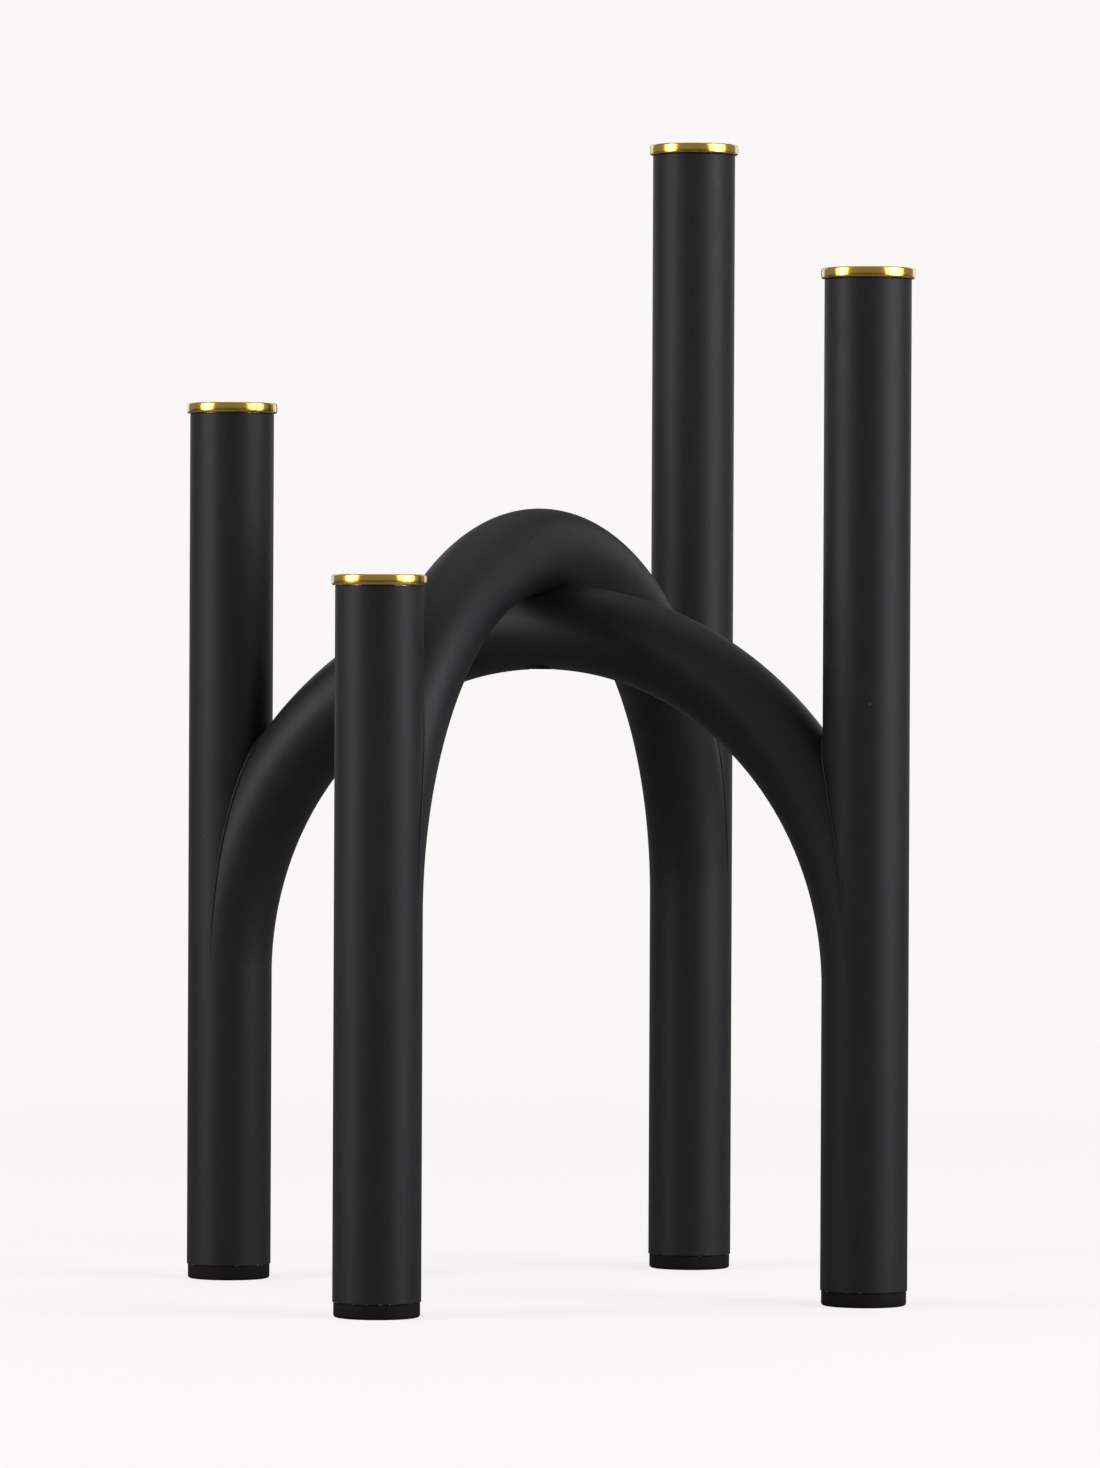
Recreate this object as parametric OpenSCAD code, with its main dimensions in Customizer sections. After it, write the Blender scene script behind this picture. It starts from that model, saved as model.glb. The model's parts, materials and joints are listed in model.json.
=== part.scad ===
// Tabletop candelabra: four round tube posts of different heights, tied in pairs by two crossing
// tube arches. Each post stands on a plug foot and carries a lift-out candle cup.
// The origin is on the table under the crossing. The lower arch lies along X, the upper along Y.

/* [Candle cups] */
// Bore of a candle cup, which takes a standard dinner candle
candle_bore_d = 22; // [19:0.5:26]
// Sheet thickness of a candle cup
cup_wall = 0.4; // [0.3:0.05:0.8]
// Depth of a cup below the open end of its post
cup_depth = 22; // [15:1:40]
// Height of the flat-sided rim
rim_height = 3; // [2.4:0.1:4]
// How far the rim stands out past the tube
rim_overhang = 1; // [0.5:0.1:2]
// Radius of the rim's edges
rim_edge_r = 0.5; // [0.2:0.05:0.9]

/* [Tubes] */
// Wall thickness of the posts and arches
tube_wall = 1; // [0.8:0.1:2]
// Distance from the middle of the plan to the axis of each post
post_offset = 103.5; // [85:0.5:140]
// Height of the left post's open end above the table
left_top = 258; // [215:1:330]
// Height of the front post's open end above the table
front_top = 205; // [200:1:300]
// Height of the rear post's open end above the table
rear_top = 339; // [260:1:420]
// Height of the right post's open end above the table
right_top = 294; // [230:1:370]

/* [Arches] */
// Height at which the lower arch leaves its two posts
lower_spring = 91; // [60:0.5:120]
// How deep the upper arch is notched over the lower arch
saddle_depth = 3; // [2:0.1:4]
// Radius of the painted weld bead where an arch meets a post
bead_r = 0.9; // [0.5:0.05:1]

/* [Feet] */
// Height of the foot that shows below the tube
foot_height = 4.2; // [3:0.1:8]
// How far the side of the foot lies inside the side of the tube
foot_inset = 0.3; // [0:0.1:1]
// Radius of the foot's lower edge
foot_edge_r = 1.2; // [0.6:0.1:2]
// Length of the ribbed plug inside the tube
plug_length = 16; // [10:1:30]
// Wall of the hollow plug
plug_wall = 2.2; // [1.6:0.1:4]
// Depth of each holding rib on the plug
rib_depth = 0.6; // [0.3:0.1:1]

/* [Crossing screw] */
// Thread diameter of the screw that holds the arches together
screw_d = 5; // [4:1:6]
// Length of the screw under its head
screw_length = 16; // [12:1:20]
// Thickness of the saddle washer at its middle
washer_middle = 2; // [1.6:0.1:3]
// Wall of the rubber plug that closes the access hole
access_plug_wall = 1; // [0.8:0.1:1.5]
// How far the plug's holding lip reaches past the access hole
access_lip = 0.3; // [0.2:0.05:0.6]

/* [Clearances] */
// Radial clearance of a candle cup in its post
cup_clearance = 0.1; // [0.05:0.01:0.3]
// Gap under the rim when the cup is seated
rim_gap = 0.05; // [0.02:0.01:0.2]
// Radial clearance of the foot's ribs in the tube
plug_clearance = 0.05; // [0.02:0.01:0.2]
// Gap left between coped tubes and round the pieces inside them
weld_gap = 0.06; // [0.02:0.01:0.2]
// Gap in the saddle between the two arches
saddle_gap = 0.1; // [0.05:0.01:0.3]
// Radial clearance of the screw in its washer and in the lower arch
screw_clearance = 0.25; // [0.1:0.05:0.5]
// Radial clearance of the screw head in the access hole below it
access_clearance = 0.95; // [0.4:0.05:1.5]
// Radial clearance of the rubber plug in the access hole
access_plug_gap = 0.05; // [0.02:0.01:0.1]
// Radial clearance of the screw in its threaded boss
thread_clearance = 0.05; // [0.02:0.01:0.1]

/* [Hidden] */
$fn = 96;

coat = "#27272b";
gold = "#d8a733";
rubber = "#1d1a18";
zinc = "#a9abad";

// Tube: the cup sets its bore, and the wall sets its outside
tube_bore_r = candle_bore_d / 2 + cup_wall + cup_clearance;
tube_r = tube_bore_r + tube_wall;

// Posts, in the order left, front, rear, right
LEFT = 0;
FRONT = 1;
REAR = 2;
RIGHT = 3;
post_turns = [180, 270, 90, 0];
post_tops = [left_top, front_top, rear_top, right_top];

// Arches: half circles on the posts' axes, the upper one resting in its notch on the lower one.
// Each tube starts a few degrees above the spring, where it first stands clear of the post.
upper_spring = lower_spring + 2 * tube_r - saddle_depth;
springs = [lower_spring, upper_spring, upper_spring, lower_spring];
lower_crown = lower_spring + post_offset;
arch_trim = 4;
bend_fn = 240;

// Weld bead: rings along the seam, sides round it, and the angle where the seam starts to show
bead_rings = 36;
bead_sides = 10;
bead_start = 6;
bead_end_share = 0.35;

// Candle cup
cup_bore_r = candle_bore_d / 2;
cup_r = cup_bore_r + cup_wall;
rim_r = tube_r + rim_overhang;

// Foot
foot_r = tube_r - foot_inset;
rib_r = tube_bore_r - plug_clearance;
plug_r = rib_r - rib_depth;
rib_count = 3;
rib_height = 1.6;

// Crossing screw, washer and boss, sized from the thread
head_d = 1.7 * screw_d;
head_height = 0.55 * screw_d;
socket_d = 0.7 * screw_d;
socket_depth = 0.6 * head_height;
washer_d = 1.92 * screw_d;
boss_d = 2 * screw_d;
washer_under = lower_crown + tube_bore_r - washer_middle;
thread_end_room = 2;
boss_hole_top = washer_under + screw_length + thread_end_room;

// Access hole and its plug: the plug's lip lies just above the tube wall at the hole's sides
access_r = head_d / 2 + access_clearance;
access_plug_r = access_r - access_plug_gap;
lip_r = access_r + access_lip;
lip_low = tube_r - sqrt(pow(tube_bore_r, 2) - pow(lip_r, 2)) + weld_gap;
lip_height = 0.8;

// Places its children on a post's axis, with the middle of the plan towards local -X
module at_post(side) {
    rotate([0, 0, post_turns[side]]) translate([post_offset, 0, 0]) children();
}

// Stands a flat section on the half circle of an arch, in the XZ plane, less a trim at each end
module bent(spring, trim = 0) {
    translate([0, 0, spring]) rotate([90, 0, 0])
        rotate_extrude(angle = 180 - 2 * trim, start = trim, $fn = bend_fn)
            translate([post_offset, 0]) children();
}

// A tube arch, coped round the posts at both of its ends
module arch_tube(spring) {
    difference() {
        bent(spring, arch_trim) difference() {
            circle(r = tube_r);
            circle(r = tube_bore_r);
        }
        for (end = [-1, 1])
            translate([end * post_offset, 0, spring])
                cylinder(r = tube_r + weld_gap, h = post_offset);
    }
}

// Upright tube, open at the top for the cup and plugged at the bottom by the foot
module post(side) {
    top = post_tops[side];
    color(coat) at_post(side) translate([0, 0, foot_height]) difference() {
        cylinder(r = tube_r, h = top - foot_height);
        translate([0, 0, -1]) cylinder(r = tube_bore_r, h = top - foot_height + 2);
    }
}

// Lower arch, with an access hole below the crossing and a screw hole above it
module arch_lower() {
    color(coat) difference() {
        arch_tube(lower_spring);
        translate([0, 0, lower_crown - 2 * tube_r])
            cylinder(r = access_r, h = 2 * tube_r);
        translate([0, 0, lower_crown])
            cylinder(r = screw_d / 2 + screw_clearance, h = 2 * tube_r);
    }
}

// Upper arch, notched from below to sit down over the lower arch, with a hole for the boss
module arch_upper() {
    color(coat) difference() {
        rotate([0, 0, 90]) arch_tube(upper_spring);
        bent(lower_spring) circle(r = tube_r + saddle_gap);
        translate([0, 0, lower_crown]) cylinder(r = boss_d / 2 + weld_gap, h = 2 * tube_r);
    }
}

// A point on the seam where an arch leaves a post; t runs from 0 to 180 over the joint
function seam(side, t) = [
    -tube_r * pow(sin(t), 2),
    tube_r * cos(t) * sqrt(1 + pow(sin(t), 2)),
    springs[side] + sqrt(4 * post_offset * tube_r) * sin(t)
];

// One ring of the bead: it stands across the seam and grows towards the crotch
function bead_ring(side, t) = let (
    middle = seam(side, t),
    ahead = seam(side, t + 0.5) - seam(side, t - 0.5),
    out = [middle.x, middle.y, 0] / tube_r,
    across = cross(ahead / norm(ahead), out),
    r = bead_r * (bead_end_share + (1 - bead_end_share) * sin(t))
) [
    for (i = [0 : bead_sides - 1]) let (a = 360 * i / bead_sides)
        middle + r * (cos(a) * out + sin(a) * across)
];

// Painted weld bead round the coped end of an arch
module weld(side) {
    step = (180 - 2 * bead_start) / (bead_rings - 1);
    rings = [for (k = [0 : bead_rings - 1]) bead_ring(side, bead_start + k * step)];
    last = (bead_rings - 1) * bead_sides;
    sides = [
        for (k = [0 : bead_rings - 2], i = [0 : bead_sides - 1])
            let (a = k * bead_sides, j = (i + 1) % bead_sides)
                [a + i, a + bead_sides + i, a + bead_sides + j, a + j]
    ];
    first_cap = [for (i = [0 : bead_sides - 1]) i];
    last_cap = [for (i = [bead_sides - 1 : -1 : 0]) last + i];
    color(coat) at_post(side)
        polyhedron(points = [for (ring = rings) each ring],
                   faces = concat(sides, [first_cap], [last_cap]), convexity = 6);
}

// Thin round cup with a flat-sided, round-edged rim that sits on the end of the tube
module cup(side) {
    e = rim_edge_r;
    color(gold) at_post(side) translate([0, 0, post_tops[side] + rim_gap]) rotate_extrude() {
        translate([cup_bore_r, 0]) square([rim_r - e - cup_bore_r, rim_height - e]);
        translate([cup_bore_r + e, 0]) square([rim_r - cup_bore_r - 2 * e, rim_height]);
        translate([cup_bore_r, e]) square([rim_r - cup_bore_r, rim_height - 2 * e]);
        for (corner = [[rim_r - e, e], [rim_r - e, rim_height - e], [cup_bore_r + e, rim_height - e]])
            translate(corner) circle(r = e);
        translate([cup_bore_r, -cup_depth]) square([cup_wall, cup_depth + e]);
        translate([0, -cup_depth - cup_wall]) square([cup_r, cup_wall]);
    }
}

// Rubber foot: a round-edged disc under the tube and a hollow, ribbed plug inside it
module foot(side) {
    color(rubber) at_post(side) rotate_extrude() {
        square([foot_r - foot_edge_r, foot_height]);
        translate([0, foot_edge_r]) square([foot_r, foot_height - foot_edge_r]);
        translate([foot_r - foot_edge_r, foot_edge_r]) circle(r = foot_edge_r);
        translate([plug_r - plug_wall, foot_height / 2])
            square([plug_wall, plug_length + foot_height / 2]);
        for (i = [1 : rib_count])
            translate([plug_r - plug_wall / 2, foot_height + i * plug_length / (rib_count + 1)])
                square([plug_wall / 2 + rib_depth, rib_height]);
    }
}

// Round boss welded inside the crown of the upper arch, tapped from below
module threaded_boss() {
    color(zinc) difference() {
        intersection() {
            translate([0, 0, lower_crown]) cylinder(d = boss_d, h = 4 * tube_r);
            rotate([0, 0, 90]) bent(upper_spring) circle(r = tube_bore_r - weld_gap);
        }
        bent(lower_spring) circle(r = tube_r + saddle_gap);
        translate([0, 0, lower_crown])
            cylinder(r = screw_d / 2 + thread_clearance, h = boss_hole_top - lower_crown);
    }
}

// Socket-head screw, put in through the access hole from below
module crossing_screw() {
    color(zinc) translate([0, 0, washer_under]) difference() {
        union() {
            translate([0, 0, -head_height]) cylinder(d = head_d, h = head_height);
            translate([0, 0, -head_height / 2])
                cylinder(d = screw_d, h = screw_length + head_height / 2);
        }
        translate([0, 0, -head_height - 1])
            cylinder(d = socket_d, h = socket_depth + 1, $fn = 6);
    }
}

// Washer under the screw head, curved on top to bear on the inside of the lower arch
module crossing_washer() {
    color(zinc) difference() {
        intersection() {
            translate([0, 0, washer_under]) cylinder(d = washer_d, h = tube_r);
            bent(lower_spring) circle(r = tube_bore_r - weld_gap);
        }
        translate([0, 0, washer_under - 1])
            cylinder(r = screw_d / 2 + screw_clearance, h = 2 * tube_r);
    }
}

// Rubber plug pushed into the access hole, flat and level with the bottom of the tube
module access_plug() {
    color(rubber) translate([0, 0, lower_crown - tube_r]) rotate_extrude() {
        square([access_plug_r, access_plug_wall]);
        translate([access_plug_r - access_plug_wall, access_plug_wall / 2])
            square([access_plug_wall, lip_low + lip_height - access_plug_wall / 2]);
        translate([access_plug_r - access_plug_wall, lip_low])
            square([lip_r - access_plug_r + access_plug_wall, lip_height]);
    }
}

post(LEFT);  // post_left
post(FRONT);  // post_front
post(REAR);  // post_rear
post(RIGHT);  // post_right
arch_lower();
arch_upper();
weld(LEFT);  // weld_left
weld(FRONT);  // weld_front
weld(REAR);  // weld_rear
weld(RIGHT);  // weld_right
cup(LEFT);  // cup_left
cup(FRONT);  // cup_front
cup(REAR);  // cup_rear
cup(RIGHT);  // cup_right
foot(LEFT);  // foot_left
foot(FRONT);  // foot_front
foot(REAR);  // foot_rear
foot(RIGHT);  // foot_right
threaded_boss();
crossing_screw();
crossing_washer();
access_plug();
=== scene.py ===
# %% [markdown]
# # Tabletop candelabra
# Four black steel tubes of different heights stand on rubber feet. Two bent tubes tie them in
# pairs and cross in the middle, and each upright tube carries a polished gold candle cup.
# The measured model is loaded first. It fixes every size and place, and nothing here moves it.
# Each piece is then modelled by hand on top of it, with rounded edges, welds and finishes.

import json
import math

import bpy
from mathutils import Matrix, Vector


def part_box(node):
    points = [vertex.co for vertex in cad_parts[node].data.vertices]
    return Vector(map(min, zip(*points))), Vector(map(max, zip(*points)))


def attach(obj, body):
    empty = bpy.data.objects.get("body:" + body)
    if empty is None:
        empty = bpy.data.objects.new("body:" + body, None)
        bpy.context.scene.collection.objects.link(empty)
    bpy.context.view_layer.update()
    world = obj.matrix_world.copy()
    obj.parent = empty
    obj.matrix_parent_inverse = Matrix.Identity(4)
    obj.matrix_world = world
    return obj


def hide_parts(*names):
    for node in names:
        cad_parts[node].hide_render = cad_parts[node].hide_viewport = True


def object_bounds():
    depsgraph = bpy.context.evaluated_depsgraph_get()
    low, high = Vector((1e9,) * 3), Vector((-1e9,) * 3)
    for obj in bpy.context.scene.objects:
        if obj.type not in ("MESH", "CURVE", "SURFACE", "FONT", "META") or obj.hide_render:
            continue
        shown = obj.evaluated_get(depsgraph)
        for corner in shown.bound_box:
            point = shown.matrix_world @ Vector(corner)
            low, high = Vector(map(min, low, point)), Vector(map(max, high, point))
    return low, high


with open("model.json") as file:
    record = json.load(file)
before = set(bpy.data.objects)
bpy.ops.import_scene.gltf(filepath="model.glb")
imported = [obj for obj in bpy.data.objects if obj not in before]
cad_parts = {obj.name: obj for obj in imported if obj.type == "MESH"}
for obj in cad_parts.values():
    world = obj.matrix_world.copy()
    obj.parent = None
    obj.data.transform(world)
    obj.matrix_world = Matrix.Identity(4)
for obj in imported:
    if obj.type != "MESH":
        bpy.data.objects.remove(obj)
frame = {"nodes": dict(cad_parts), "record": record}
measured_box = [list(corner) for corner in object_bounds()]
print("measured model, in metres:", measured_box)

# %% [markdown]
# ## Sizes taken from the measured model
# A tube's box gives its radius, its axis and its two ends, so the hand-made pieces land exactly
# on the measured ones. Only what a box can't tell, such as a wall's thickness, is written here.
# A round piece's box is off by a hair, because its mesh is made of flats, so crowns and axes
# are rounded to a tenth of a millimetre.

# %% Sizes
MM = 0.001
SIDES = ("left", "front", "rear", "right")
TUBE_WALL = 1.0 * MM
SADDLE_GAP = 0.1 * MM
SAME_PLACE = 0.001 * MM


def middle_of(node):
    low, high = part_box(node)
    return (low + high) / 2


tube_low, tube_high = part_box("post_left")
TUBE_R = (tube_high.x - tube_low.x) / 2
BORE_R = TUBE_R - TUBE_WALL
post_axis = {
    side: Vector([round(v, 4) for v in middle_of("post_" + side)]) for side in SIDES
}
REACH = post_axis["right"].x
post_foot = {side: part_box("post_" + side)[0].z for side in SIDES}
post_top = {side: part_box("post_" + side)[1].z for side in SIDES}
LOWER = "arch_lower"
UPPER = "arch_upper"
crown = {arch: round(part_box(arch)[1].z - TUBE_R, 4) for arch in (LOWER, UPPER)}
spring = {arch: crown[arch] - REACH for arch in crown}
arch_at = {"left": LOWER, "front": UPPER, "rear": UPPER, "right": LOWER}
print("tube radius", round(TUBE_R, 5), "reach", round(REACH, 4), "springs", spring)

# %% [markdown]
# ## Camera
# The object is seen from the front, a quarter of the way round to the right, through a long
# lens from a little over two metres, with the eye level at half its height. The camera turns
# and leans by small angles only, so the posts stay upright in the view.

# %% Camera
CAMERA_TURN = math.radians(26.16)
CAMERA_AIM = math.radians(26.10)
CAMERA_DISTANCE = 2.2
CAMERA_HEIGHT = 0.1765
CAMERA_NOD = math.radians(-0.35)
CAMERA_LEAN = math.radians(-0.25)
CAMERA_LENS = 184.4


def round_about(turn, distance, height):
    """A point at a distance from the middle of the plan; turn 0 is in front, towards -Y."""
    return Vector((math.sin(turn) * distance, -math.cos(turn) * distance, height))


def deselect():
    if bpy.context.object and bpy.context.object.mode != "OBJECT":
        bpy.ops.object.mode_set(mode="OBJECT")
    bpy.ops.object.select_all(action="DESELECT")


deselect()
bpy.ops.object.camera_add(location=round_about(CAMERA_TURN, CAMERA_DISTANCE, CAMERA_HEIGHT))
camera = bpy.context.object
camera.name = "camera"
camera.rotation_euler = (math.radians(90) + CAMERA_NOD, CAMERA_LEAN, CAMERA_AIM)
camera.data.lens = CAMERA_LENS
camera.data.clip_end = 100
bpy.context.scene.camera = camera
bpy.context.scene.view_settings.view_transform = "Standard"
print("camera at", tuple(round(v, 3) for v in camera.location))

# %% [markdown]
# ## Tools for shaping by hand
# Every piece starts as a primitive at its real size and place. It is shaped in edit mode, and
# its place is then moved into its mesh, so the object itself sits at the origin, unturned.
# A rounded edge comes from a Bevel modifier that looks only at sharp corners.

# %% Shaping tools
def finish_shape(name, smooth_angle=30):
    """Leaves edit mode, moves the place into the mesh, shades it and names it."""
    bpy.ops.object.mode_set(mode="OBJECT")
    bpy.ops.object.transform_apply(location=True, rotation=True, scale=True)
    bpy.ops.object.shade_smooth_by_angle(angle=math.radians(smooth_angle))
    piece = bpy.context.object
    piece.name = name
    piece.data.name = name
    return piece


def only(piece):
    deselect()
    piece.select_set(True)
    bpy.context.view_layer.objects.active = piece


def apply_modifier(piece, kind, **settings):
    only(piece)
    bpy.ops.object.modifier_add(type=kind)
    modifier = piece.modifiers[-1]
    for key, value in settings.items():
        setattr(modifier, key, value)
    bpy.ops.object.modifier_apply(modifier=modifier.name)


def round_edges(piece, width):
    apply_modifier(
        piece, "BEVEL", width=width, segments=3, limit_method="ANGLE",
        angle_limit=math.radians(40), harden_normals=False,
    )


def cut(piece, cutter):
    """Takes the cutter's shape out of the piece, and throws the cutter away."""
    apply_modifier(piece, "BOOLEAN", operation="DIFFERENCE", solver="EXACT", object=cutter)
    bpy.data.objects.remove(cutter)


def rod(radius, low, high, x=0.0, y=0.0, sides=96):
    """A plain upright rod, used as a cutter."""
    deselect()
    bpy.ops.mesh.primitive_cylinder_add(
        vertices=sides, radius=radius, depth=high - low, location=(x, y, (low + high) / 2)
    )
    return bpy.context.object


def report(piece):
    faces = len(piece.data.polygons)
    print(piece.name, "faces", faces, "size mm", [round(v / MM, 1) for v in piece.dimensions])


# %% [markdown]
# ## Upright tubes
# On the real object these are lengths of welded steel tube, cut square, deburred and powder
# coated, so the cut ends are slightly round. A cylinder primitive would have no wall. Instead a
# circle is pulled up to make the outside, turned in across the end and pushed down again to
# make the bore, and the two open rings at the bottom are bridged.

# %% Upright tubes
TUBE_SIDES = 128
TUBE_EDGE = 0.3 * MM


def upright_tube(name, axis, low, high):
    deselect()
    bpy.ops.mesh.primitive_circle_add(
        vertices=TUBE_SIDES, radius=TUBE_R, location=(axis.x, axis.y, low)
    )
    bpy.ops.object.mode_set(mode="EDIT")
    bpy.ops.mesh.select_all(action="SELECT")
    bpy.ops.mesh.extrude_region_move(TRANSFORM_OT_translate={"value": (0, 0, high - low)})
    bpy.ops.mesh.extrude_region_move(TRANSFORM_OT_translate={"value": (0, 0, 0)})
    shrink = BORE_R / TUBE_R
    bpy.ops.transform.resize(value=(shrink, shrink, 1), center_override=(axis.x, axis.y, high))
    bpy.ops.mesh.extrude_region_move(TRANSFORM_OT_translate={"value": (0, 0, low - high)})
    bpy.ops.mesh.select_all(action="DESELECT")
    bpy.ops.mesh.select_non_manifold(use_wire=False, use_multi_face=False, use_verts=False)
    bpy.ops.mesh.bridge_edge_loops()
    bpy.ops.mesh.select_all(action="SELECT")
    bpy.ops.mesh.normals_make_consistent(inside=False)
    piece = finish_shape(name)
    round_edges(piece, TUBE_EDGE)
    report(piece)
    return piece


tubes = {}
for side in SIDES:
    tubes[side] = upright_tube("tube_" + side, post_axis[side], post_foot[side], post_top[side])
    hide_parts("post_" + side)

# %% [markdown]
# ## Bent tubes
# Each arch is a tube bent to a half circle, with its ends cut to saddle against the posts. The
# section is a circle spun round the middle of the bend, closed at its ends and given a wall.
# Its ends are then cut away inside the posts' walls, so the tubes meet in one clean crease.

# %% Bent tubes
BEND_SIDES = 96
BEND_STEPS = 150
ROOT = 0.5 * MM
FIRST_SHOW = 3.0 * MM
PAST = 5.0 * MM


def bend(arch, radius, sides=BEND_SIDES):
    """A closed half ring on an arch's centre line: the lower arch along X, the upper along Y."""
    along_x = arch == LOWER
    start = (REACH, 0, spring[arch]) if along_x else (0, REACH, spring[arch])
    turning = (0, 1, 0) if along_x else (-1, 0, 0)
    deselect()
    bpy.ops.mesh.primitive_circle_add(vertices=sides, radius=radius, location=start)
    bpy.ops.object.mode_set(mode="EDIT")
    bpy.ops.mesh.select_all(action="SELECT")
    bpy.ops.mesh.spin(
        steps=BEND_STEPS, angle=math.pi, center=(0, 0, spring[arch]), axis=turning
    )
    bpy.ops.mesh.select_all(action="SELECT")
    bpy.ops.mesh.fill_holes(sides=0)
    bpy.ops.mesh.normals_make_consistent(inside=False)
    return finish_shape("bend")


def bent_tube(name, arch):
    piece = bend(arch, TUBE_R)
    apply_modifier(piece, "SOLIDIFY", thickness=TUBE_WALL, offset=-1)
    low = spring[arch]
    for side in SIDES:
        if arch_at[side] == arch:
            x, y = post_axis[side].x, post_axis[side].y
            cut(piece, rod(TUBE_R - ROOT, low - PAST, low + REACH, x, y))
            cut(piece, rod(TUBE_R + PAST, low - PAST, low + FIRST_SHOW, x, y))
    piece.name = name
    piece.data.name = name
    return piece


lower_bend = bent_tube("bent_tube_lower", LOWER)
upper_bend = bent_tube("bent_tube_upper", UPPER)

# %% [markdown]
# ## Crossing
# The upper tube is notched from below to sit down over the lower one. A screw goes up through
# the lower tube into a boss inside the upper one, and its head is reached through a hole in the
# underside. The notch is cut with the lower tube's own shape, grown by the small gap between
# them, and the holes with plain rods. The hole in the lower tube's top wall is narrower than
# the screw, so the screw's shank passes through that wall, out of sight inside the joint.

# %% Crossing
TOP_HOLE_R = 1.5 * MM
ACCESS_CLEARANCE = 0.95 * MM
BOSS_GAP = 0.06 * MM
ACCESS_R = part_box("crossing_screw")[1].x + ACCESS_CLEARANCE
BOSS_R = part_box("threaded_boss")[1].x

below, middle, above = (crown[LOWER] + step * TUBE_R for step in (-2, 0, 2))
cut(lower_bend, rod(ACCESS_R, below, middle))
cut(lower_bend, rod(TOP_HOLE_R, middle, above))
cut(upper_bend, bend(LOWER, TUBE_R + SADDLE_GAP))
cut(upper_bend, rod(BOSS_R + BOSS_GAP, middle, above))
for piece, arch in ((lower_bend, LOWER), (upper_bend, UPPER)):
    only(piece)
    finish_shape(piece.name)
    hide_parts(arch)
    report(piece)

# %% [markdown]
# ## Weld beads
# Where an arch leaves its post, a bead of weld fills the crease, and the coat softens it. The
# crease is where two tubes of one radius meet, which a short formula gives. A curve is laid
# along it and thickened, wider towards the crotch, with the faint ripple that a welder leaves.

# %% Weld beads
BEAD_R = 0.5 * MM
BEAD_LOW_SHARE = 0.5
BEAD_OUT = 0.12 * MM
BEAD_POINTS = 420
BEAD_START = math.radians(3)
BEAD_TAPER = math.radians(12)
RIPPLE = 0.05
RIPPLE_PITCH = 1.4 * MM
BEAD_LEAST = 0.05


def crease(side, t):
    """A point of the crease and the direction straight out of it; t runs from 0 to pi."""
    axis = post_axis[side]
    outward = Vector((axis.x, axis.y, 0)).normalized()
    sideways = Vector((-outward.y, outward.x, 0))
    inset = TUBE_R * math.sin(t) ** 2
    aside = TUBE_R * math.cos(t) * math.sqrt(1 + math.sin(t) ** 2)
    rise = math.sqrt(4 * REACH * TUBE_R) * math.sin(t)
    from_post = sideways * aside - outward * inset
    place = Vector((axis.x, axis.y, spring[arch_at[side]] + rise)) + from_post
    radial = (outward * (REACH - inset) + Vector((0, 0, rise))).normalized()
    from_arch = sideways * aside + radial * inset
    return place, (from_post + from_arch).normalized()


def weld_bead(name, side):
    deselect()
    bpy.ops.curve.primitive_nurbs_path_add(location=(0, 0, 0))
    path = bpy.context.object
    path.data.splines.clear()
    spline = path.data.splines.new("POLY")
    spline.points.add(BEAD_POINTS - 1)
    walked, before = 0.0, None
    for i, point in enumerate(spline.points):
        t = BEAD_START + (math.pi - 2 * BEAD_START) * i / (BEAD_POINTS - 1)
        place, out = crease(side, t)
        walked += (place - before).length if before else 0.0
        before = place
        swell = BEAD_LOW_SHARE + (1 - BEAD_LOW_SHARE) * math.sin(t)
        ends = min(1.0, (t - BEAD_START) / BEAD_TAPER, (math.pi - BEAD_START - t) / BEAD_TAPER)
        ripple = 1 + RIPPLE * math.sin(math.tau * walked / RIPPLE_PITCH)
        point.radius = max(BEAD_LEAST, swell * ends * ripple)
        point.co = (*(place + out * BEAD_OUT * math.sin(t)), 1)
    path.data.bevel_depth = BEAD_R
    path.data.bevel_resolution = 5
    path.data.use_fill_caps = True
    bpy.ops.object.convert(target="MESH")
    bpy.ops.object.mode_set(mode="EDIT")
    bpy.ops.mesh.select_all(action="SELECT")
    bpy.ops.mesh.remove_doubles(threshold=SAME_PLACE)
    bpy.ops.mesh.normals_make_consistent(inside=False)
    piece = finish_shape(name, smooth_angle=80)
    report(piece)
    return piece


beads = {}
for side in SIDES:
    beads[side] = weld_bead("weld_bead_" + side, side)
    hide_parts("weld_" + side)

# %% [markdown]
# ## Turned pieces
# A cup, a foot and a screw are round about an upright axis, so they are drawn as half a section
# and spun, as on a lathe. The section starts as one point, and each step pulls the next point
# out of it. Round corners in the section are arcs. Each point also keeps its distance from the
# axis as an attribute, which the finishes read to draw turning and polishing lines.

# %% Lathe
LATHE_STEPS = 128


def arc(centre_r, centre_z, radius, start, end, steps=8):
    """Points of an arc in the section; angles in degrees, 0 points away from the axis."""
    turns = [math.radians(start + (end - start) * i / steps) for i in range(steps + 1)]
    return [(centre_r + radius * math.cos(a), centre_z + radius * math.sin(a)) for a in turns]


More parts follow.
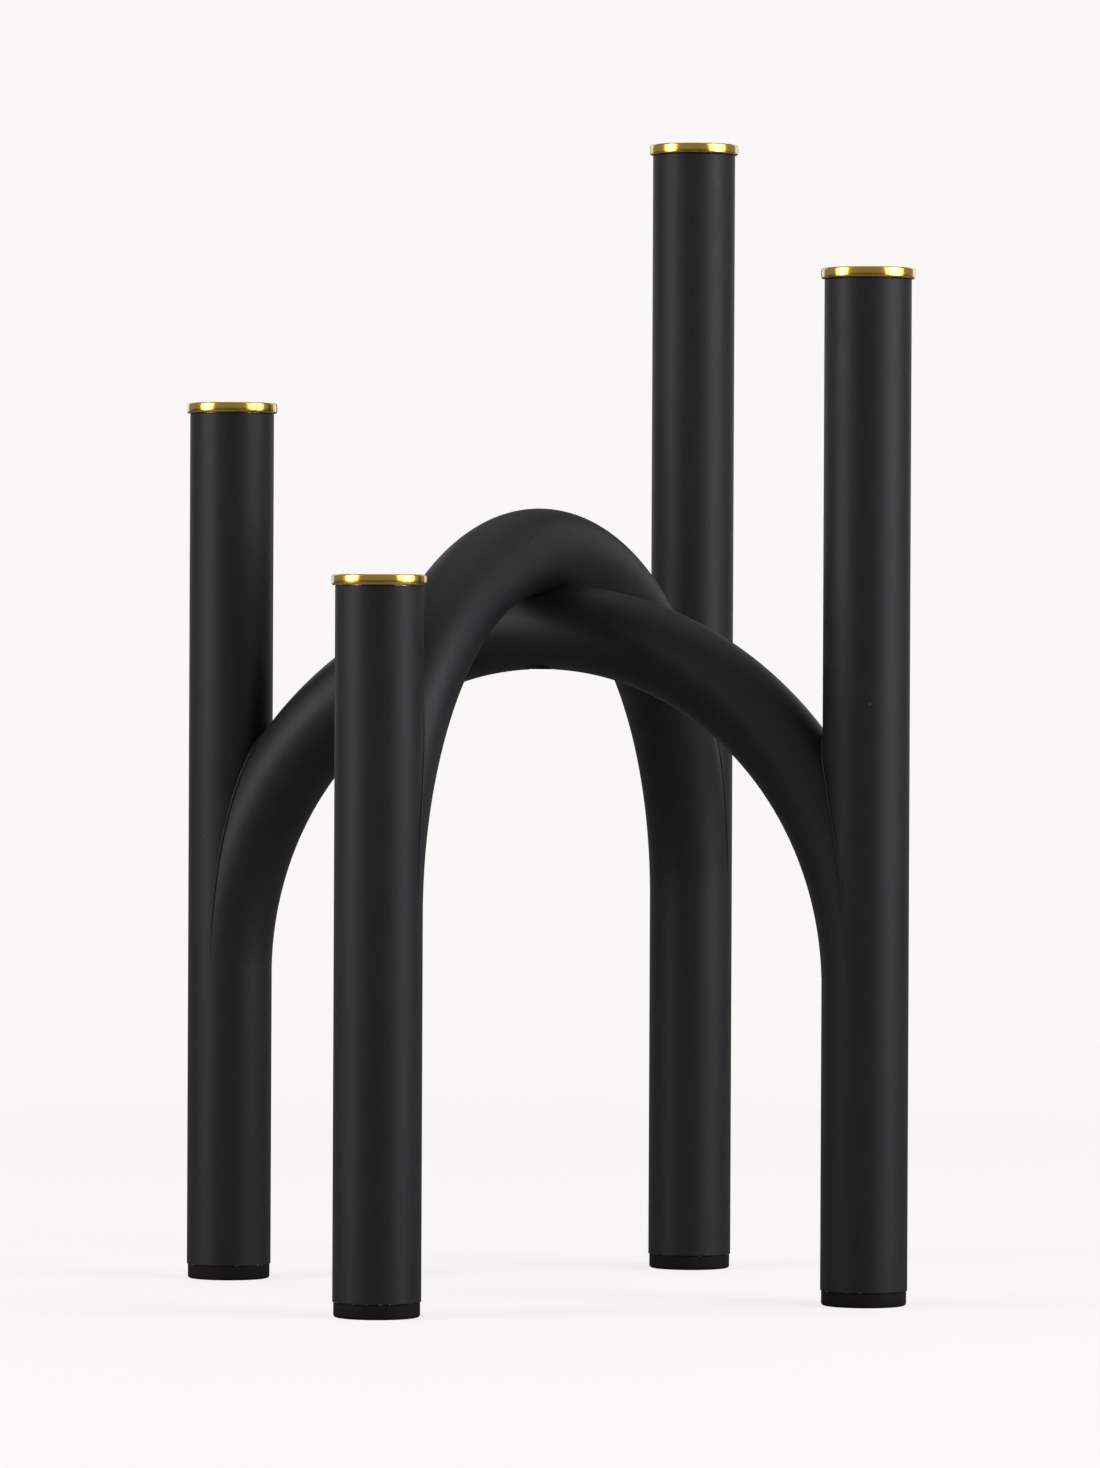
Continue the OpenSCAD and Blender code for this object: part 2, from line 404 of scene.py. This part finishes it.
def lathe(name, section, axis, base=0.0, steps=LATHE_STEPS):
    """Spins a half section of (radius, height) points round the upright line at axis."""
    r, z = section[0]
    deselect()
    bpy.ops.mesh.primitive_plane_add(size=MM, location=(axis.x + r, axis.y, base + z))
    bpy.ops.object.mode_set(mode="EDIT")
    bpy.ops.mesh.select_all(action="SELECT")
    bpy.ops.mesh.merge(type="CENTER")
    for next_r, next_z in section[1:]:
        step = (next_r - r, 0, next_z - z)
        bpy.ops.mesh.extrude_vertices_move(TRANSFORM_OT_translate={"value": step})
        r, z = next_r, next_z
    bpy.ops.mesh.select_all(action="SELECT")
    bpy.ops.mesh.spin(
        steps=steps, angle=math.tau, center=(axis.x, axis.y, base), axis=(0, 0, 1)
    )
    bpy.ops.mesh.select_all(action="SELECT")
    bpy.ops.mesh.remove_doubles(threshold=SAME_PLACE)
    bpy.ops.mesh.normals_make_consistent(inside=False)
    piece = finish_shape(name)
    from_axis = piece.data.attributes.new("from_axis", "FLOAT", "POINT")
    for vertex, distance in zip(piece.data.vertices, from_axis.data):
        distance.value = math.hypot(vertex.co.x - axis.x, vertex.co.y - axis.y)
    return piece


# %% [markdown]
# ## Candle cups
# The cup is pressed from thin brass sheet and polished: a sleeve with a closed floor, under a
# thick flat-sided rim with round edges. The rim sits on the end of the tube and the sleeve
# hangs inside it, loose enough to lift out for cleaning. The rim's side bulges a twentieth of a
# millimetre, as polishing leaves it, so its reflections have soft ends.

# %% Candle cups
CANDLE_R = frame["record"]["mounts"][0]["dims"]["r_mm"] * MM
SHEET = 0.4 * MM
CUP_R = CANDLE_R + SHEET
RIM_TALL = 3.0 * MM
RIM_EDGE = 0.5 * MM
RIM_BULGE = 0.05 * MM
CUP_CORNER = 1.2 * MM


def cup_section(low, high, outside):
    """The cup's half section, from the middle of its underside round to the middle of its floor."""
    under = high - RIM_TALL
    edge_r = outside - RIM_EDGE - RIM_BULGE
    lip_r = CANDLE_R + RIM_EDGE
    inner_corner = CUP_CORNER - SHEET
    side = [
        (outside - RIM_BULGE * (2 * share - 1) ** 2,
         under + RIM_EDGE + share * (RIM_TALL - 2 * RIM_EDGE))
        for share in (i / 10 for i in range(1, 10))
    ]
    return [
        (0, low),
        *arc(CUP_R - CUP_CORNER, low + CUP_CORNER, CUP_CORNER, -90, 0),
        (CUP_R, under),
        *arc(edge_r, under + RIM_EDGE, RIM_EDGE, -90, 0),
        *side,
        *arc(edge_r, high - RIM_EDGE, RIM_EDGE, 0, 90),
        *arc(lip_r, high - RIM_EDGE, RIM_EDGE, 90, 180),
        *arc(CANDLE_R - inner_corner, low + SHEET + inner_corner, inner_corner, 0, -90),
        (0, low + SHEET),
    ]


cups = {}
for side in SIDES:
    low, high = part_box("cup_" + side)
    section = cup_section(low.z, high.z, measured_box[1][0] - REACH)
    cups[side] = lathe("candle_cup_" + side, section, post_axis[side])
    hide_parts("cup_" + side)
    report(cups[side])

# %% [markdown]
# ## Rubber feet
# Each foot is a moulded rubber plug: a disc with a round lower edge under the tube, and a
# hollow, ribbed stem that grips the bore. The underside has a shallow dish, so the foot stands
# on a ring and doesn't rock.

# %% Rubber feet
FOOT_EDGE = 0.8 * MM
DISC_EDGE = 0.3 * MM
STEM_EDGE = 0.5 * MM
DISH_R = 6.5 * MM
DISH_DEPTH = 0.4 * MM
STEM_WALL = 2.2 * MM
RIB_OUT = 0.6 * MM
RIB_TALL = 1.6 * MM
RIB_RAMP = 0.4 * MM
RIB_CREST = 0.4 * MM
RIBS = 3
PLUG_CLEARANCE = 0.05 * MM


def foot_section(low, disc_top, high, outside):
    """The foot's half section, from the middle of its underside up to the stem and back down."""
    rib_r = BORE_R - PLUG_CLEARANCE
    stem_r = rib_r - RIB_OUT
    section = [
        (0, low + DISH_DEPTH),
        (DISH_R - DISH_DEPTH, low + DISH_DEPTH),
        (DISH_R, low),
        *arc(outside - FOOT_EDGE, low + FOOT_EDGE, FOOT_EDGE, -90, 0, 10),
        *arc(outside - DISC_EDGE, disc_top - DISC_EDGE, DISC_EDGE, 0, 90, 3),
        (stem_r, disc_top),
    ]
    for rib in range(1, RIBS + 1):
        z = disc_top + rib * (high - disc_top) / (RIBS + 1)
        crest = z + RIB_RAMP
        section += [(stem_r, z), (rib_r, crest), (rib_r, crest + RIB_CREST)]
        section += [(stem_r, z + RIB_TALL)]
    section += arc(stem_r - STEM_EDGE, high - STEM_EDGE, STEM_EDGE, 0, 90, 3)
    section += [(stem_r - STEM_WALL, high), (stem_r - STEM_WALL, disc_top), (0, disc_top)]
    return section


feet = {}
for side in SIDES:
    low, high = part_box("foot_" + side)
    section = foot_section(low.z, post_foot[side], high.z, (high.x - low.x) / 2)
    feet[side] = lathe("rubber_foot_" + side, section, post_axis[side])
    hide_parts("foot_" + side)
    report(feet[side])

# %% [markdown]
# ## Crossing screw
# A zinc-plated socket screw holds the two arches together. A rubber plug hides it from below,
# so it shows only when that is taken out. The head and shank are turned on the lathe, with a
# chamfer at each end. The thread is drawn as close rings, because the lathe turns but doesn't
# climb. The key socket is a six-sided rod, cut into the head from below.

# %% Crossing screw
screw_low, screw_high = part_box("crossing_screw")
HEAD_TO_SHANK = 1.7
HEAD_R = (screw_high.x - screw_low.x) / 2
THREAD_R = HEAD_R / HEAD_TO_SHANK
HEAD_TALL = 1.1 * THREAD_R
SOCKET_R = 0.7 * THREAD_R
SOCKET_DEEP = 0.6 * HEAD_TALL
THREAD_PITCH = 0.8 * MM
THREAD_DEEP = 0.4 * MM
CHAMFER = 0.35 * MM


def screw_section(length):
    """The screw's half section, from the middle of its head round to the tip of its shank."""
    section = [
        (0, 0),
        (HEAD_R - CHAMFER, 0),
        (HEAD_R, CHAMFER),
        (HEAD_R, HEAD_TALL),
        (THREAD_R, HEAD_TALL),
    ]
    z = HEAD_TALL + 2 * THREAD_PITCH
    while z < length - 2 * THREAD_PITCH:
        section += [(THREAD_R, z), (THREAD_R - THREAD_DEEP, z + THREAD_PITCH / 2)]
        z += THREAD_PITCH
    return section + [(THREAD_R, z), (THREAD_R - THREAD_DEEP, length), (0, length)]


screw_axis = middle_of("crossing_screw")
screw = lathe(
    "socket_screw", screw_section(screw_high.z - screw_low.z), screw_axis, screw_low.z, 64
)
cut(screw, rod(SOCKET_R, screw_low.z - PAST, screw_low.z + SOCKET_DEEP, sides=6))
only(screw)
finish_shape(screw.name)
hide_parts("crossing_screw")
report(screw)

# %% [markdown]
# ## Access plug
# A rubber plug closes the hole under the crossing, level with the bottom of the tube. It is
# turned like the feet: a thin floor, a short wall, and a lip that snaps in above the tube's wall.

# %% Access plug
PLUG_GAP = 0.05 * MM
PLUG_WALL = 1.0 * MM
LIP_TALL = 0.8 * MM
LIP_CREST = 0.7
PLUG_EDGE = 0.25 * MM


def plug_section(high, lip_r):
    """The plug's half section, from the middle of its underside round to the middle inside."""
    side_r = ACCESS_R - PLUG_GAP
    inner_r = side_r - PLUG_WALL
    return [
        (0, 0),
        *arc(side_r - PLUG_EDGE, PLUG_EDGE, PLUG_EDGE, -90, 0, 4),
        (side_r, high - LIP_TALL),
        (lip_r, high - LIP_CREST * LIP_TALL),
        (side_r, high),
        (inner_r, high),
        (inner_r, PLUG_WALL),
        (0, PLUG_WALL),
    ]


plug_low, plug_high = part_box("access_plug")
plug = lathe(
    "access_plug_rubber",
    plug_section(plug_high.z - plug_low.z, (plug_high.x - plug_low.x) / 2),
    screw_axis, plug_low.z, 96,
)
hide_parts("access_plug")
report(plug)

# %% [markdown]
# ## Shared surface effects
# Paint, metal and rubber show the same few effects at different strengths: a fine grain in the
# surface, slow patches in the gloss, loose specks of dust, and rubbing near an end. Each effect
# is a node group, built once. It is placed in each finish that shows it, with that finish's values.

# %% Helpers for nodes
def add(tree, kind, inputs=None, **settings):
    """Adds a node; an input is given a value, or another node's output to link."""
    made = tree.nodes.new(kind)
    for key, value in settings.items():
        setattr(made, key, value)
    for name, value in (inputs or {}).items():
        if isinstance(value, bpy.types.NodeSocket):
            tree.links.new(value, made.inputs[name])
        else:
            made.inputs[name].default_value = value
    return made


def new_group(name, inputs, outputs):
    """An empty node group; returns its tree, its input node and its output node."""
    tree = bpy.data.node_groups.new(name, "ShaderNodeTree")
    for label, kind, value in inputs:
        socket = tree.interface.new_socket(label, in_out="INPUT", socket_type=kind)
        if value is not None:
            socket.default_value = value
    for label, kind in outputs:
        tree.interface.new_socket(label, in_out="OUTPUT", socket_type=kind)
    return tree, tree.nodes.new("NodeGroupInput"), tree.nodes.new("NodeGroupOutput")


def maths(tree, operation, a, b=0.0, clamp=False):
    return add(tree, "ShaderNodeMath", {0: a, 1: b}, operation=operation, use_clamp=clamp).outputs[0]


FLOAT = "NodeSocketFloat"
VECTOR = "NodeSocketVector"

# %% [markdown]
# ### Grain
# Two noises of different size, added as a height in metres. The coarse one is the orange peel
# of sprayed powder or the skin of moulded rubber, and the fine one is its grit.

# %% Grain group
grain_group, given, result = new_group(
    "surface grain",
    [("Place", VECTOR, None), ("Peel Size", FLOAT, 0.001), ("Peel Height", FLOAT, 0.00001),
     ("Grit Size", FLOAT, 0.0002), ("Grit Height", FLOAT, 0.000002)],
    [("Height", FLOAT)],
)
heights = []
for size, height in (("Peel Size", "Peel Height"), ("Grit Size", "Grit Height")):
    scale = maths(grain_group, "DIVIDE", 1.0, given.outputs[size])
    noise = add(
        grain_group, "ShaderNodeTexNoise",
        {"Vector": given.outputs["Place"], "Scale": scale, "Detail": 2.0, "Roughness": 0.5},
    )
    heights.append(maths(grain_group, "MULTIPLY", noise.outputs["Fac"], given.outputs[height]))
total = maths(grain_group, "ADD", heights[0], heights[1])
grain_group.links.new(total, result.inputs["Height"])

# %% [markdown]
# ### Patches
# A slow noise between zero and one. It makes the gloss a little uneven, as handling and a
# sprayed coat do.

# %% Patches group
patch_group, given, result = new_group(
    "slow patches",
    [("Place", VECTOR, None), ("Size", FLOAT, 0.01), ("Contrast", FLOAT, 1.0)],
    [("Mask", FLOAT)],
)
noise = add(
    patch_group, "ShaderNodeTexNoise",
    {"Vector": given.outputs["Place"],
     "Scale": maths(patch_group, "DIVIDE", 1.0, given.outputs["Size"]),
     "Detail": 4.0, "Roughness": 0.6},
)
centred = maths(patch_group, "SUBTRACT", noise.outputs["Fac"], 0.5)
stretched = maths(patch_group, "MULTIPLY", centred, given.outputs["Contrast"])
mask = maths(patch_group, "ADD", stretched, 0.5, clamp=True)
patch_group.links.new(mask, result.inputs["Mask"])

# %% [markdown]
# ### Specks
# Cells of a Voronoi texture, each with one point in it. A point shows as a speck where its
# cell's random number is under the share, so specks are sparse and never in rows.

# %% Specks group
speck_group, given, result = new_group(
    "dust specks",
    [("Place", VECTOR, None), ("Spacing", FLOAT, 0.006), ("Speck Radius", FLOAT, 0.0002),
     ("Share", FLOAT, 0.3)],
    [("Mask", FLOAT)],
)
cells = add(
    speck_group, "ShaderNodeTexVoronoi",
    {"Vector": given.outputs["Place"],
     "Scale": maths(speck_group, "DIVIDE", 1.0, given.outputs["Spacing"])},
)
chance = add(speck_group, "ShaderNodeSeparateColor", {"Color": cells.outputs["Color"]})
reach = maths(speck_group, "DIVIDE", given.outputs["Speck Radius"], given.outputs["Spacing"])
reach = maths(speck_group, "MULTIPLY", reach, chance.outputs["Green"])
near = maths(speck_group, "LESS_THAN", cells.outputs["Distance"], reach)
kept = maths(speck_group, "LESS_THAN", chance.outputs["Red"], given.outputs["Share"])
speck_group.links.new(maths(speck_group, "MULTIPLY", near, kept), result.inputs["Mask"])

# %% [markdown]
# ### Rub near an end
# A mask that is strongest at one height and fades over a short reach, broken up by noise. It
# serves for chips at the foot of a tube and for dust on the edge of a rubber foot.

# %% Rub group
rub_group, given, result = new_group(
    "rub near an end",
    [("Place", VECTOR, None), ("Level", FLOAT, 0.0), ("Reach", FLOAT, 0.001),
     ("Patch Size", FLOAT, 0.001), ("Amount", FLOAT, 0.5)],
    [("Mask", FLOAT)],
)
parts = add(rub_group, "ShaderNodeSeparateXYZ", {"Vector": given.outputs["Place"]})
above = maths(rub_group, "SUBTRACT", parts.outputs["Z"], given.outputs["Level"])
above = maths(rub_group, "ABSOLUTE", above)
fade = maths(rub_group, "DIVIDE", above, given.outputs["Reach"])
fade = maths(rub_group, "SUBTRACT", 1.0, fade, clamp=True)
noise = add(
    rub_group, "ShaderNodeTexNoise",
    {"Vector": given.outputs["Place"],
     "Scale": maths(rub_group, "DIVIDE", 1.0, given.outputs["Patch Size"]), "Detail": 3.0},
)
edge = maths(rub_group, "MULTIPLY", fade, given.outputs["Amount"])
level = maths(rub_group, "ADD", noise.outputs["Fac"], edge)
level = maths(rub_group, "SUBTRACT", level, 1.0)
mask = maths(rub_group, "MULTIPLY", level, 12.0, clamp=True)
rub_group.links.new(maths(rub_group, "MULTIPLY", mask, fade, clamp=True), result.inputs["Mask"])

# %% [markdown]
# ## Finishes
# Each finish starts from a helper that makes a Principled BSDF. Numbers that are the same all
# over, such as how metallic it is, are set on the shader itself. What changes over the surface
# comes from the groups above. Object coordinates are in metres, so sizes are real ones.

# %% Helpers for finishes
def new_finish(name, **fixed):
    """A material with one Principled BSDF; returns it, its tree, its shader and its place."""
    finish = bpy.data.materials.new(name)
    finish.use_nodes = True
    tree = finish.node_tree
    shader = tree.nodes["Principled BSDF"]
    for label, value in fixed.items():
        shader.inputs[label.replace("_", " ")].default_value = value
    place = tree.nodes.new("ShaderNodeTexCoord").outputs["Object"]
    return finish, tree, shader, place


def use_group(tree, group, place, **values):
    """Places a group in a finish with its own values; returns the group's one output."""
    made = add(tree, "ShaderNodeGroup", node_tree=group)
    tree.links.new(place, made.inputs["Place"])
    for label, value in values.items():
        made.inputs[label.replace("_", " ")].default_value = value
    return made.outputs[0]


def between(tree, mask, low, high):
    """A number from low to high by the mask."""
    made = add(tree, "ShaderNodeMapRange", {"Value": mask, "To Min": low, "To Max": high})
    return made.outputs["Result"]


def blend_colour(tree, mask, under, over):
    made = add(tree, "ShaderNodeMix", data_type="RGBA")
    for index, value in ((0, mask), (6, under), (7, over)):
        if isinstance(value, bpy.types.NodeSocket):
            tree.links.new(value, made.inputs[index])
        else:
            made.inputs[index].default_value = value
    return made.outputs[2]


def set_bump(tree, shader, height):
    bump = add(tree, "ShaderNodeBump", {"Height": height, "Strength": 1.0, "Distance": 1.0})
    tree.links.new(bump.outputs["Normal"], shader.inputs["Normal"])


# %% [markdown]
# ### Satin black powder coat
# Powder is sprayed on dry and baked, which leaves a tough satin skin with a faint orange peel.
# It is almost black with a touch of blue. Patches vary its gloss, a few specks of dust lie on
# it, and a few chips at the lower end of a tube show pale metal.

# %% Powder coat
COAT = (0.0105, 0.0105, 0.0118, 1)
COAT_WORN = (0.017, 0.0165, 0.0175, 1)
DUST = (0.07, 0.068, 0.066, 1)
BARE = (0.5, 0.49, 0.47, 1)
COAT_ROUGHNESS = (0.47, 0.56)
TUBE_END = post_foot["front"]

coat, tree, shader, place = new_finish(
    "satin_black_coat", Metallic=0.0, IOR=1.5, Specular_IOR_Level=0.30
)
patches = use_group(tree, patch_group, place, Size=0.009, Contrast=1.6)
specks = use_group(tree, speck_group, place, Spacing=0.009, Speck_Radius=0.00045, Share=0.28)
chips = use_group(
    tree, rub_group, place, Level=TUBE_END, Reach=0.0012, Patch_Size=0.0012, Amount=0.46
)
colour = blend_colour(tree, patches, COAT, COAT_WORN)
colour = blend_colour(tree, specks, colour, DUST)
colour = blend_colour(tree, chips, colour, BARE)
tree.links.new(colour, shader.inputs["Base Color"])
tree.links.new(between(tree, patches, *COAT_ROUGHNESS), shader.inputs["Roughness"])
grain = use_group(
    tree, grain_group, place, Peel_Size=0.0011, Peel_Height=0.000014, Grit_Size=0.00022,
    Grit_Height=0.000003,
)
set_bump(tree, shader, grain)

# %% [markdown]
# ### Polished gold
# The cups are brass-coloured and polished on a wheel, which leaves fine rings round the axis.
# The rings are a noise along the distance from the axis and the height. Handling leaves slow
# patches that are a little duller. A clear lacquer over the top is the shader's coat, and gives
# the white in the brightest lights. Inside, the pressed sheet is left satin, because a candle
# hides it.

# %% Polished gold
GOLD = (0.96, 0.62, 0.08, 1)
GOLD_DULL = (0.88, 0.54, 0.065, 1)
GOLD_INSIDE = (0.62, 0.45, 0.16, 1)
GOLD_ROUGHNESS = (0.10, 0.20)
RING_ROUGHNESS = 0.05
SATIN_INSIDE = 0.25
INSIDE_REACH = 0.05 * MM
RINGS_PER_METRE = 9000.0
RING_HEIGHT = 0.0000012

gold, tree, shader, place = new_finish(
    "polished_gold", Metallic=1.0, Coat_Weight=1.0, Coat_Roughness=0.06, Coat_IOR=1.7
)
patches = use_group(tree, patch_group, place, Size=0.006, Contrast=1.8)
from_axis = add(tree, "ShaderNodeAttribute", attribute_name="from_axis").outputs["Fac"]
height = add(tree, "ShaderNodeSeparateXYZ", {"Vector": place}).outputs["Z"]
along = maths(tree, "ADD", from_axis, height)
rings = add(
    tree, "ShaderNodeTexNoise", {"W": along, "Scale": RINGS_PER_METRE, "Detail": 2.0},
    noise_dimensions="1D",
).outputs["Fac"]
inside = maths(tree, "LESS_THAN", from_axis, CANDLE_R + INSIDE_REACH)
colour = blend_colour(tree, patches, GOLD, GOLD_DULL)
colour = blend_colour(tree, inside, colour, GOLD_INSIDE)
tree.links.new(colour, shader.inputs["Base Color"])
rough = between(tree, patches, *GOLD_ROUGHNESS)
rough = maths(tree, "ADD", rough, maths(tree, "MULTIPLY", rings, RING_ROUGHNESS))
rough = maths(tree, "ADD", rough, maths(tree, "MULTIPLY", inside, SATIN_INSIDE))
tree.links.new(rough, shader.inputs["Roughness"])
set_bump(tree, shader, maths(tree, "MULTIPLY", rings, RING_HEIGHT))

# %% [markdown]
# ### Black rubber
# Moulded rubber is dull, a shade browner than the coat, with a fine grain from the mould. Dust
# from the table clings to its lower edge.

# %% Black rubber
RUBBER = (0.0062, 0.0048, 0.0044, 1)
RUBBER_WORN = (0.0105, 0.0085, 0.0078, 1)
RUBBER_DUST = (0.04, 0.036, 0.032, 1)
RUBBER_ROUGHNESS = (0.66, 0.80)

rubber, tree, shader, place = new_finish(
    "black_rubber", Metallic=0.0, IOR=1.45, Specular_IOR_Level=0.18
)
patches = use_group(tree, patch_group, place, Size=0.004, Contrast=1.5)
dusty = use_group(
    tree, rub_group, place, Level=0.0, Reach=0.0018, Patch_Size=0.0009, Amount=0.36
)
colour = blend_colour(tree, patches, RUBBER, RUBBER_WORN)
colour = blend_colour(tree, dusty, colour, RUBBER_DUST)
tree.links.new(colour, shader.inputs["Base Color"])
tree.links.new(between(tree, patches, *RUBBER_ROUGHNESS), shader.inputs["Roughness"])
grain = use_group(
    tree, grain_group, place, Peel_Size=0.0006, Peel_Height=0.000012, Grit_Size=0.00015,
    Grit_Height=0.000004,
)
set_bump(tree, shader, grain)

# %% [markdown]
# ### Zinc-plated steel
# The screw, its washer and the boss are plated steel: grey, half dull, with the crystal
# patches that zinc shows and a fine grain.

# %% Zinc plate
ZINC = (0.44, 0.45, 0.47, 1)
ZINC_DULL = (0.30, 0.30, 0.31, 1)
ZINC_ROUGHNESS = (0.26, 0.44)

zinc, tree, shader, place = new_finish("zinc_plate", Metallic=1.0)
patches = use_group(tree, patch_group, place, Size=0.0016, Contrast=2.2)
tree.links.new(blend_colour(tree, patches, ZINC, ZINC_DULL), shader.inputs["Base Color"])
tree.links.new(between(tree, patches, *ZINC_ROUGHNESS), shader.inputs["Roughness"])
grain = use_group(
    tree, grain_group, place, Peel_Size=0.0008, Peel_Height=0.000005, Grit_Size=0.0001,
    Grit_Height=0.000002,
)
set_bump(tree, shader, grain)

# %% [markdown]
# ## Give each piece its finish and its body
# A cup can be lifted out, so each cup rides on its own body. All else is one welded frame. The
# washer and the boss keep their measured shapes, because they are plain turned pieces inside
# the tubes, and only get the plated finish.

# %% Finishes and bodies
def dress(piece, finish, body):
    piece.data.materials.clear()
    piece.data.materials.append(finish)
    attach(piece, body)


for side in SIDES:
    dress(tubes[side], coat, "frame")
    dress(beads[side], coat, "frame")
    dress(feet[side], rubber, "frame")
    dress(cups[side], gold, "cup_" + side)
for piece in (lower_bend, upper_bend):
    dress(piece, coat, "frame")
dress(screw, zinc, "frame")
dress(plug, rubber, "frame")
for kept_node in ("threaded_boss", "crossing_washer"):
    slots = frame["nodes"][kept_node].material_slots
    for slot in slots:
        slot.material = zinc
    print(kept_node, "keeps its shape and gets", zinc.name)

# %% [markdown]
# ## Floor and backdrop
# A pale studio sweep has no horizon. The floor here is a wide disc. Far out it is as bright as
# the sky behind it. Near the object nearly a fifth of that glow gives way to lamplight, so a
# faint shadow gathers under the feet. Reflections see a dim studio, which keeps black dark.

# %% Floor and backdrop
BACKDROP = (0.956, 0.939, 0.922, 1)
ROOM = (0.235, 0.235, 0.245, 1)
FLOOR_R = 12.0
FADE_FROM = 0.5
FADE_TO = 1.6
LAMPLIT_SHARE = 0.30
LAMPLIT_LEVEL = 0.60
FLOOR_PAINT = (0.80, 0.785, 0.77, 1)
BLACK = (0, 0, 0, 1)
DIM_FLOOR = (0.25, 0.25, 0.25, 1)

deselect()
bpy.ops.mesh.primitive_circle_add(
    vertices=128, radius=FLOOR_R, fill_type="NGON", location=(0, 0, measured_box[0][2])
)
floor = finish_shape("studio_floor")

paint = bpy.data.materials.new("pale_floor")
paint.use_nodes = True
tree = paint.node_tree
tree.nodes.clear()
place = add(tree, "ShaderNodeTexCoord").outputs["Object"]
distance = add(tree, "ShaderNodeVectorMath", {0: place}, operation="LENGTH").outputs["Value"]
lamplit = add(
    tree, "ShaderNodeMapRange",
    {"Value": distance, "From Min": FADE_FROM, "From Max": FADE_TO, "To Min": LAMPLIT_SHARE,
     "To Max": 0.0},
    interpolation_type="SMOOTHSTEP",
).outputs["Result"]
glow_level = maths(tree, "SUBTRACT", 1.0, maths(tree, "MULTIPLY", lamplit, LAMPLIT_LEVEL))
glow = add(tree, "ShaderNodeEmission", {"Color": BACKDROP, "Strength": glow_level})
painted = blend_colour(tree, lamplit, BLACK, FLOOR_PAINT)
matt = add(tree, "ShaderNodeBsdfDiffuse", {"Color": painted})
seen = add(tree, "ShaderNodeAddShader", {0: glow.outputs[0], 1: matt.outputs[0]})
dim = add(tree, "ShaderNodeBsdfDiffuse", {"Color": DIM_FLOOR})
camera_ray = add(tree, "ShaderNodeLightPath").outputs["Is Camera Ray"]
both = add(tree, "ShaderNodeMixShader", {0: camera_ray, 1: dim.outputs[0], 2: seen.outputs[0]})
add(tree, "ShaderNodeOutputMaterial", {"Surface": both.outputs[0]})
floor.data.materials.append(paint)

world = bpy.data.worlds.new("studio")
bpy.context.scene.world = world
world.use_nodes = True
tree = world.node_tree
tree.nodes.clear()
camera_ray = add(tree, "ShaderNodeLightPath").outputs["Is Camera Ray"]
shade = blend_colour(tree, camera_ray, ROOM, BACKDROP)
sky = add(tree, "ShaderNodeBackground", {"Color": shade, "Strength": 1.0})
add(tree, "ShaderNodeOutputWorld", {"Surface": sky.outputs[0]})
print("floor radius", FLOOR_R, "room", ROOM[:3])

# %% [markdown]
# ## Lamps
# Two softboxes stand far round to the left and right of the camera, which puts one long soft
# line of light down each side of every tube and leaves the middle dark. They stand higher
# than the cups, so the lines fade towards the feet. A real softbox has a hot middle, so
# each is a wide dim lamp with a narrow bright one in front of it. Two weaker ones stand behind,
# so the back isn't flat, and a weak one hangs overhead.

# %% Lamps
LAMP_DISTANCE = 1.5
LAMP_HEIGHT = 0.62
LAMP_TALL = 1.0
HOT_IN_FRONT = 0.02
LIT_PLACE = Vector((0, 0, 0.2))
WARM = (1.0, 0.99, 0.975)
COOL = (0.965, 0.97, 1.0)
WHITE = (1.0, 1.0, 1.0)


def softbox(name, turn, distance, height, wide, tall, brightness, colour):
    """A lamp that faces the object, as bright as asked per square metre of its face."""
    spot = round_about(CAMERA_TURN + math.radians(turn), distance, height)
    deselect()
    bpy.ops.object.light_add(type="AREA", location=spot)
    lamp = bpy.context.object
    lamp.name = name
    lamp.data.shape = "RECTANGLE"
    lamp.data.size, lamp.data.size_y = wide, tall
    lamp.data.energy = brightness * math.pi * wide * tall
    lamp.data.color = colour
    towards = LIT_PLACE - spot
    lamp.rotation_euler = towards.to_track_quat("-Z", "Y").to_euler()
    lamp.visible_camera = False
    print(name, "watts", round(lamp.data.energy, 1))


for name, turn, wide, wide_level, hot, hot_level, colour in (
    ("left", -68, 1.00, 2.3, 0.40, 5.0, WARM),
    ("right", 66, 1.45, 1.9, 0.70, 4.2, COOL),
):
    softbox("softbox_" + name, turn, LAMP_DISTANCE, LAMP_HEIGHT, wide, LAMP_TALL,
            wide_level, colour)
    softbox("hot_middle_" + name, turn, LAMP_DISTANCE - HOT_IN_FRONT, LAMP_HEIGHT, hot, LAMP_TALL,
            hot_level, colour)
for name, turn in (("left", -152), ("right", 148)):
    softbox("softbox_back_" + name, turn, LAMP_DISTANCE, LAMP_HEIGHT, 0.7, LAMP_TALL, 0.7, WHITE)
softbox("softbox_above", turn=160, distance=0.6, height=1.9, wide=1.4, tall=1.4,
        brightness=0.45, colour=WHITE)
